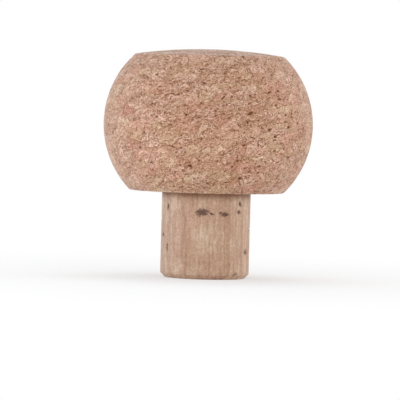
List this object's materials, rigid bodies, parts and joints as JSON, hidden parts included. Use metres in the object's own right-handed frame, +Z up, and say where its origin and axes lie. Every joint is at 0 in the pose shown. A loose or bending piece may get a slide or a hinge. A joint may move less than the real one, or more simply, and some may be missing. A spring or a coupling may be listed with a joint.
{
  "type": "cork bottle stopper",
  "caption": "Cork bottle stopper: a barrel-shaped agglomerated cork head with a domed top, on a cylindrical natural cork shank that plugs the neck.",
  "frame": {"origin": "centre of the flat foot of the shank, which the stopper stands on", "axes": "+Z up along the axis that head and shank were turned on; +X to the right and +Y away in the picture's view"},
  "size_m": [0.046, 0.046, 0.0502],
  "materials": {
    "agglomerated_cork": "matte",
    "natural_cork": "matte"
  },
  "bodies": {
    "root": {"head": "agglomerated_cork", "shank": "natural_cork"}
  },
  "joints": []
}
